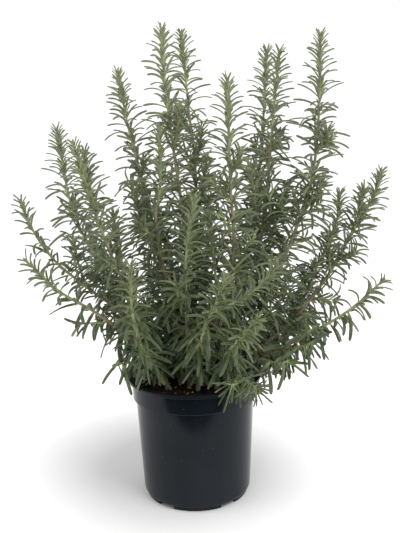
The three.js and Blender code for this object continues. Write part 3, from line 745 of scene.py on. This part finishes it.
def turned(profile, steps, surface=None):
    """Corners and faces of a round form, whose profile starts and ends on the axis.

    Where the profile names no height, the surface gives it, and every other ring is half a step round.
    """
    corners, rings, faces = [], [], []
    for radius, height in profile:
        count = steps if radius else 1
        shift = 0.5 if height is None and len(rings) % 2 == 0 else 0
        rings.append([len(corners) + j % count for j in range(steps)])
        for j in range(count):
            angle = 2 * math.pi * (j + shift) / steps
            x, y = radius * math.cos(angle), radius * math.sin(angle)
            corners.append((x, y, surface(x, y) if height is None else height))
    for low, high in zip(rings, rings[1:]):
        for j in range(steps):
            k = (j + 1) % steps
            face = [low[j], low[k], high[k], high[j]]
            faces.append([c for i, c in enumerate(face) if c != face[i - 1]])
    return corners, faces


def make_pot(material):
    carved = add_object("carved", new_mesh("nursery_pot", *turned(pot_profile(), steps=144)))
    cutters = []
    reach = POT.body_bottom_radius - POT.foot_inner + 2 * DRAIN.overrun
    middle = (POT.body_bottom_radius + POT.foot_inner) / 2
    radius, through = DRAIN.hole_radius, 9
    for i in range(DRAIN.count):
        turn = Matrix.Rotation(math.pi / 2 + 2 * math.pi * i / DRAIN.count, 4, "Z")
        box = [
            (middle + a * reach / 2, b * DRAIN.notch_width / 2, c * DRAIN.notch_height)
            for a in (-1, 1) for b in (-1, 1) for c in (-1, 1)
        ]
        faces = [(0, 1, 3, 2), (4, 6, 7, 5), (0, 4, 5, 1), (2, 3, 7, 6), (0, 2, 6, 4), (1, 5, 7, 3)]
        post = [(0, -through), (radius, -through), (radius, through), (0, through)]
        hole = new_mesh("hole", *turned(post, steps=24))
        hole.transform(Matrix.Translation((DRAIN.hole_circle * MM, 0, 0)))
        for cutter in (new_mesh("notch", box, faces), hole):
            cutter.transform(turn)
            cutters.append(add_object(cutter.name, cutter))
            modifier = carved.modifiers.new(cutter.name, "BOOLEAN")
            modifier.object = cutters[-1]
            modifier.solver = "EXACT"
    shown = carved.evaluated_get(bpy.context.evaluated_depsgraph_get())
    final = bpy.data.meshes.new_from_object(shown)
    for extra in (carved, *cutters):
        bpy.data.objects.remove(extra)
    final.materials.clear()
    place_piece("nursery_pot", final, [material], "pot", "pot")


# -------- potting mix

RELIEF = ((6.5, 1.5), (2.6, 0.9), (1.1, 0.5))       # span and height of each layer of unevenness
CALM = Sizes(over=4, at_edge=0.3)       # it eases in over this length, from this far up the curve at the pot
CRUMB = Sizes(
    count=900, within=0.97, size=(0.5, 2.3), mostly_small=2.2, tilt=0.9, raised=0.15,
    stretch=((0.7, 1.9), (0.6, 1.1), (0.45, 0.9)), dent=0.5, dent_scale=1.7,
)


def icosahedron():
    """Its corners, and its faces: the triples of corners that are neighbours of each other."""
    phi = (1 + math.sqrt(5)) / 2
    corners = [np.roll((0, a, b * phi), k) for k in range(3) for a in (-1, 1) for b in (-1, 1)]
    corners = unit(np.array(corners, float))
    triples = (list(f) for f in itertools.combinations(range(len(corners)), 3))
    faces = [f for f in triples if (corners[f] @ corners[f].T).min() > 0]
    return corners, [f if np.linalg.det(corners[f]) > 0 else f[::-1] for f in faces]


def crumb_tone(random):
    """How pale a crumb is: a few are straw-coloured bits, some are brown bark, and most are dark."""
    kind = random()
    if kind > 0.9:
        return 0.95
    return random() * (0.6 if kind > 0.6 else 0.15)


def make_mix(material, random):
    rings, below_edge, loose = 52, 2.2, 1.2
    wall = POT.wall + loose * GAP
    edge = POT.collar_radius + POT.collar_draft / 2 - wall

    def relief(x, y):
        return sum(noise.noise(Vector((x, y, 0)) / span) * high for span, high in RELIEF)

    def surface(x, y):
        calmer_at_edge = smooth((edge - math.hypot(x, y)) / CALM.over + CALM.at_edge)
        return mix_height(x, y) + relief(x, y) * calmer_at_edge

    profile = [
        *inner_wall(wall, POT.floor_top + GAP),
        (edge, POT.height - MIX.edge_below_lip - below_edge),
        *[(edge * (1 - i / rings), None) for i in range(rings)],
        (0, None),
    ]
    corners, faces = turned(profile, steps=150, surface=surface)
    dark_look = (0.25, 0, 0.5, 0)
    looks = [dark_look] * len(corners)

    # Crumbs of bark and fibre on the surface, each a small dented lump.
    form, form_faces = icosahedron()
    for _ in range(CRUMB.count):
        radius = edge * math.sqrt(random()) * CRUMB.within
        angle = 2 * math.pi * random()
        x, y = radius * math.cos(angle), radius * math.sin(angle)
        size = lerp(*CRUMB.size, random() ** CRUMB.mostly_small)
        stretch = np.array([lerp(*spread, random()) for spread in CRUMB.stretch])
        turn = Matrix.Rotation(2 * math.pi * random(), 3, "Z")
        turn = turn @ Matrix.Rotation(CRUMB.tilt * (random() - 0.5), 3, "X")
        here = Vector((x, y, 0))
        dents = [noise.noise(Vector(p) * CRUMB.dent_scale + here) for p in form]
        points = form * (1 + CRUMB.dent * np.array(dents))[:, None] * stretch * size
        if radius + np.abs(points).max() > edge - GAP:
            continue
        height = mix_height(x, y) + relief(x, y) + CRUMB.raised * size
        points = points @ np.array(turn).T + (x, y, height)
        pale = crumb_tone(random)
        faces += [[len(corners) + i for i in face] for face in form_faces]
        corners += points.tolist()
        looks += [(pale, 0, random(), 1)] * len(points)
    mesh = new_mesh("potting_mix", corners, faces, looks=looks)
    place_piece("potting_mix", mesh, [material], "soil", "soil")


# -------- materials

class Nodes:
    """Short calls for building the node tree of a material or of the world."""

    def __init__(self, owner):
        owner.use_nodes = True
        self.owner, self.tree = owner, owner.node_tree
        self.tree.nodes.clear()

    def add(self, kind, **inputs):
        node = self.tree.nodes.new(kind)
        for key, value in inputs.items():
            self.put(node.inputs[key.replace("_", " ")], value)
        return node

    def feed(self, kind, *values):
        """A new node whose first inputs take the values."""
        node = self.add(kind)
        for socket, value in zip(node.inputs, values):
            self.put(socket, value)
        return node

    def put(self, socket, value):
        if isinstance(value, bpy.types.NodeSocket):
            self.tree.links.new(value, socket)
        else:
            socket.default_value = value

    def noise(self, scale, detail=3.0, roughness=0.55, vector=None):
        vector = vector or self.place()
        node = self.add("ShaderNodeTexNoise", Vector=vector, Scale=scale, Detail=detail, Roughness=roughness)
        return node.outputs["Fac"]

    def place(self, stretch=(1, 1, 1)):
        coordinates = self.add("ShaderNodeTexCoord").outputs["Object"]
        if stretch == (1, 1, 1):
            return coordinates
        return self.add("ShaderNodeMapping", Vector=coordinates, Scale=stretch).outputs[0]

    def height(self):
        """Metres above the floor."""
        return self.feed("ShaderNodeSeparateXYZ", self.place()).outputs["Z"]

    def ramp(self, value, low, high, to_low=0.0, to_high=1.0):
        return self.feed("ShaderNodeMapRange", value, low, high, to_low, to_high).outputs[0]

    def mix(self, share, first, second, blend="MIX"):
        node = self.add("ShaderNodeMix")
        node.data_type = "RGBA"
        node.blend_type = blend
        self.put(node.inputs[0], share)
        self.put(node.inputs[6], colour(first))
        self.put(node.inputs[7], colour(second))
        return node.outputs[2]

    def look(self):
        """The numbers that meshes carry at each corner: young or pale, underside, tint, along the leaf."""
        node = self.add("ShaderNodeAttribute")
        node.attribute_name = "look"
        parts = self.feed("ShaderNodeSeparateColor", node.outputs["Color"])
        return (*parts.outputs, node.outputs["Alpha"])

    def bump(self, height, strength, distance):
        node = self.add("ShaderNodeBump", Height=height, Strength=strength, Distance=distance)
        self.set(Normal=node.outputs[0])

    def set(self, **values):
        for key, value in values.items():
            self.put(self.shader.inputs[key.replace("_", " ")], value)


def new_material(name):
    """The nodes of a new material with one shader."""
    n = Nodes(bpy.data.materials.new(name))
    n.shader = n.add("ShaderNodeBsdfPrincipled")
    n.feed("ShaderNodeOutputMaterial", n.shader.outputs[0])
    return n


def colour(value):
    """A node socket as it is, and a colour given as 0 to 255 on screen in linear light."""
    if not isinstance(value, tuple):
        return value
    return (*[c / 255 / 12.92 if c <= 10 else ((c / 255 + 0.055) / 1.055) ** 2.4 for c in value], 1.0)


def leaf_material():
    n = new_material("rosemary_leaf")
    young, under, tint, along = n.look()
    height = n.height()
    mature = n.mix(tint, (60, 76, 36), (98, 114, 62))
    # Painted shade: mature leaves are painted darker low on the plant, where it lies in shade.
    mature = n.mix(n.ramp(height, 0.16, 0.3, 0.75, 0), mature, (57, 75, 34))
    # Painted light: mature leaves are painted paler high on the plant, where light falls.
    mature = n.mix(n.ramp(height, 0.22, 0.38, 0, 0.75), mature, (140, 148, 114))
    fresh = n.mix(tint, (144, 154, 100), (166, 174, 122))
    top = n.mix(young, mature, fresh)
    top = n.mix(n.ramp(along, 0.15, 0.75, 0, 0.62), top, (70, 82, 60))
    patches = n.noise(260, 3)
    top = n.mix(n.ramp(patches, 0.35, 0.7, 0, 0.35), top, (58, 68, 46), "MULTIPLY")
    pale = n.mix(young, (132, 138, 116), (152, 158, 128))
    body = n.mix(n.ramp(under, 0.3, 0.95), top, pale)
    base = n.mix(n.ramp(along, 0.0, 0.3, 0.75, 0), body, (158, 169, 106))
    n.set(Base_Color=base, Roughness=0.52, Specular_IOR_Level=0.35, Sheen_Weight=0.12, Sheen_Roughness=0.5)
    n.bump(n.noise(1400, 2), 0.25, 0.0002)
    return n.owner


def bark_material():
    n = new_material("rosemary_bark")
    young, _, tint, _ = n.look()
    fibres = n.noise(1.0, 4, 0.6, n.place((700, 700, 90)))
    wood = n.mix(fibres, (112, 102, 84), (162, 150, 128))
    green = n.mix(tint, (136, 145, 106), (152, 158, 122))
    rosy = n.mix(n.noise(60, 2), (158, 142, 120), (146, 146, 110))
    middle = n.mix(n.ramp(young, 0.15, 0.5), wood, rosy)
    n.set(Base_Color=n.mix(n.ramp(young, 0.45, 0.8), middle, green), Roughness=0.7, Specular_IOR_Level=0.3)
    n.bump(fibres, 0.5, 0.0004)
    return n.owner


def pot_material():
    n = new_material("gloss_black_plastic")
    flow = n.noise(1.0, 4, 0.6, n.place((38, 38, 9)))
    scuffs = n.noise(1.0, 6, 0.7, n.place((420, 420, 70)))
    dust = n.noise(900, 1, 0.4)
    base = n.mix(n.ramp(flow, 0.35, 0.7), (14, 19, 24), (20, 25, 31))
    # Painted reflection: the pot is painted lighter towards its bottom, standing in for the pale floor that
    # it mirrors there.
    base = n.mix(n.ramp(n.height(), 0.07, 0.0, 0, 0.16), base, (70, 74, 80))
    base = n.mix(n.ramp(dust, 0.78, 0.83, 0, 0.55), base, (150, 146, 136))
    rough = n.feed("ShaderNodeMath", n.ramp(flow, 0.3, 0.75, 0.1, 0.2), n.ramp(scuffs, 0.55, 0.8, 0, 0.1))
    n.set(Base_Color=base, Roughness=rough.outputs[0], Specular_IOR_Level=0.16)
    n.bump(n.noise(520, 2), 0.08, 0.0004)
    return n.owner


def mix_material():
    n = new_material("potting_mix")
    pale, _, tint, _ = n.look()
    grain = n.noise(700, 4, 0.65)
    dark = n.mix(grain, (14, 12, 11), (38, 32, 28))
    brown = n.mix(tint, (96, 74, 44), (154, 126, 80))
    bits = n.mix(n.ramp(pale, 0.7, 0.85), brown, (198, 178, 122))
    n.set(Base_Color=n.mix(n.ramp(pale, 0.22, 0.6), dark, bits), Roughness=0.95, Specular_IOR_Level=0.2)
    n.bump(grain, 0.8, 0.001)
    return n.owner


# -------- camera, light and floor

# The focal length and the picture's height in pixels, angles in degrees.
CAMERA = Sizes(place=(9.6, -708.7, 372.5), pitch=9.16, roll=1.53, focal=650, picture=533)
# In metres: the floor's paper glows further out than "near", and fully from "far".
FLOOR = Sizes(half=6.0, centre=(-0.03, 0.03, 0), shape=(1, 0.8, 1), near=0.085, far=0.225, glow=0.45)
FLAG = Sizes(near=-0.225, far=-3.0, half=1.5, height=0.002)
TENT = Sizes(front=0.7, back=1.0, seen=1.1)     # how bright it is, and as the camera sees it


def make_camera():
    data = bpy.data.cameras.new("camera")
    data.sensor_width = 36
    data.lens = CAMERA.focal / CAMERA.picture * data.sensor_width
    data.clip_start, data.clip_end = 0.01, 50
    camera = add_object("camera", data)
    bpy.context.scene.camera = camera
    turn = Matrix.Rotation(math.radians(90 - CAMERA.pitch), 4, "X")
    turn = turn @ Matrix.Rotation(math.radians(-CAMERA.roll), 4, "Z")
    camera.matrix_world = Matrix.Translation(Vector(CAMERA.place) * MM) @ turn


def sheet(name, half, near, far, height, nodes):
    """A flat rectangle, facing up."""
    mesh = bpy.data.meshes.new(name)
    corners = [(-half, near, height), (half, near, height), (half, far, height), (-half, far, height)]
    mesh.from_pydata(corners, [], [(0, 1, 2, 3)])
    mesh.materials.append(nodes.owner)
    return add_object(name, mesh)


def make_floor():
    n = new_material("floor_paper")
    n.set(Base_Color=(0.68, 0.68, 0.68, 1), Roughness=0.9, Specular_IOR_Level=0.1)
    far = n.feed("ShaderNodeVectorMath", n.place(FLOOR.shape), FLOOR.centre)
    far.operation = "DISTANCE"
    glow = n.ramp(far.outputs["Value"], FLOOR.near, FLOOR.far, 0.0, FLOOR.glow)
    n.set(Emission_Color=(1, 1, 1, 1), Emission_Strength=glow)
    floor = sheet("floor", FLOOR.half, -FLOOR.half, FLOOR.half, 0, n)


def make_flag():
    """A dark card beyond the floor's front, which only the glossy pot mirrors."""
    n = new_material("black_card")
    n.set(Base_Color=(0.01, 0.01, 0.01, 1), Roughness=1.0, Specular_IOR_Level=0.0)
    flag = sheet("flag", FLAG.half, FLAG.far, FLAG.near, FLAG.height, n)
    flag.visible_camera = flag.visible_diffuse = flag.visible_shadow = False


def area_light(name, place, target, size, power):
    data = bpy.data.lights.new(name, "AREA")
    data.shape = "RECTANGLE"
    data.size, data.size_y = size
    data.energy = power
    lamp = add_object(name, data)
    lamp.location = place
    lamp.rotation_euler = (Vector(target) - Vector(place)).to_track_quat("-Z", "Y").to_euler()


def make_light():
    """A white tent that is darker on the front side, and soft boxes above."""
    world = bpy.data.worlds.new("tent")
    bpy.context.scene.world = world
    n = Nodes(world)
    direction = n.feed("ShaderNodeSeparateXYZ", n.add("ShaderNodeTexCoord").outputs["Generated"])
    lit = n.ramp(direction.outputs["Y"], -1.0, 1.0, TENT.front, TENT.back)
    lights, seen = (n.feed("ShaderNodeBackground", (1, 1, 1, 1), v).outputs[0] for v in (lit, TENT.seen))
    camera_sees = n.add("ShaderNodeLightPath").outputs["Is Camera Ray"]
    n.feed("ShaderNodeOutputWorld", n.feed("ShaderNodeMixShader", camera_sees, lights, seen).outputs[0])
    area_light("soft_box_right", (0.9, -0.7, 1.5), (0, 0, 0.25), (1.1, 1.1), 22)
    area_light("soft_box_left", (-1.1, -0.2, 1.2), (0, 0, 0.25), (0.9, 1.2), 8)
    bpy.context.scene.view_settings.view_transform = "Standard"


# -------- everything together

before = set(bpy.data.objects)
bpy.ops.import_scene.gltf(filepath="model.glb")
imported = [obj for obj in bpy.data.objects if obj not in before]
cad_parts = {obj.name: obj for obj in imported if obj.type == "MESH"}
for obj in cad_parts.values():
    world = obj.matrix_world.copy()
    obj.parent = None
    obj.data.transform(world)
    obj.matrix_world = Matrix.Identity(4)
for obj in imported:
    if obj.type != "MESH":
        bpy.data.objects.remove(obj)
cad_low, cad_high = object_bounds()
make_camera()
make_floor()
make_flag()
make_light()

make_pot(pot_material())
make_mix(mix_material(), random_stream(SEED + 500))
materials = [bark_material(), leaf_material()]
low, high = (np.array(v) / MM for v in (cad_low, cad_high))
for number, plant in enumerate(lay_out()):
    leafy_stem(plant, random_stream(SEED + 100 + number), low, high, materials)
